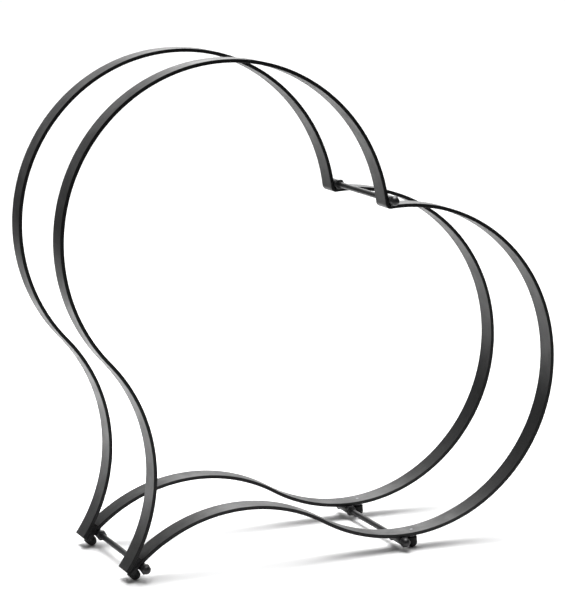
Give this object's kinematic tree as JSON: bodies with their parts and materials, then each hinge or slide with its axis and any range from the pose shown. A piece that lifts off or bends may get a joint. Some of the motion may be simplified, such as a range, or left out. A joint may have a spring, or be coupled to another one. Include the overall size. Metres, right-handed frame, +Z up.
{
  "type": "firewood log rack",
  "caption": "Heart-shaped firewood rack of black flat steel bar: front and back hearts joined by round cross rods, leaning on its tip and lower lobe on small rubber feet.",
  "frame": {"origin": "on the floor, under the middle of the whole rack's box", "axes": "+X to the right along the rack's width, +Y to the back through both hearts, +Z up"},
  "size_m": [0.7197, 0.2362, 0.6876],
  "materials": {
    "black_powder_coat": "satin black powder coat with a fine texture",
    "black_nut": "semi-gloss black",
    "zinc_steel": "zinc-plated thread",
    "black_rubber": "matt moulded rubber"
  },
  "bodies": {
    "root": {"back_belly_bush": "black_powder_coat", "back_belly_domed_nut": "black_nut", "back_belly_foot": "black_rubber", "back_belly_foot_nut": "zinc_steel", "back_belly_foot_stud": "zinc_steel", "back_belly_lock_nut": "black_nut", "back_cleft_bush": "black_powder_coat", "back_cleft_domed_nut": "black_nut", "back_cleft_lock_nut": "black_nut", "back_heart_bar": "black_powder_coat", "back_tail_spacer": "black_powder_coat", "back_tip_bush": "black_powder_coat", "back_tip_domed_nut": "black_nut", "back_tip_foot": "black_rubber", "back_tip_foot_stud": "zinc_steel", "back_tip_lock_nut": "black_nut", "belly_rod": "black_powder_coat", "cleft_rod": "black_powder_coat", "front_belly_bush": "black_powder_coat", "front_belly_domed_nut": "black_nut", "front_belly_foot": "black_rubber", "front_belly_foot_nut": "zinc_steel", "front_belly_foot_stud": "zinc_steel", "front_belly_lock_nut": "black_nut", "front_cleft_bush": "black_powder_coat", "front_cleft_domed_nut": "black_nut", "front_cleft_lock_nut": "black_nut", "front_heart_bar": "black_powder_coat", "front_tail_spacer": "black_powder_coat", "front_tip_bush": "black_powder_coat", "front_tip_domed_nut": "black_nut", "front_tip_foot": "black_rubber", "front_tip_foot_stud": "zinc_steel", "front_tip_lock_nut": "black_nut", "tip_rod": "black_powder_coat"}
  },
  "joints": []
}
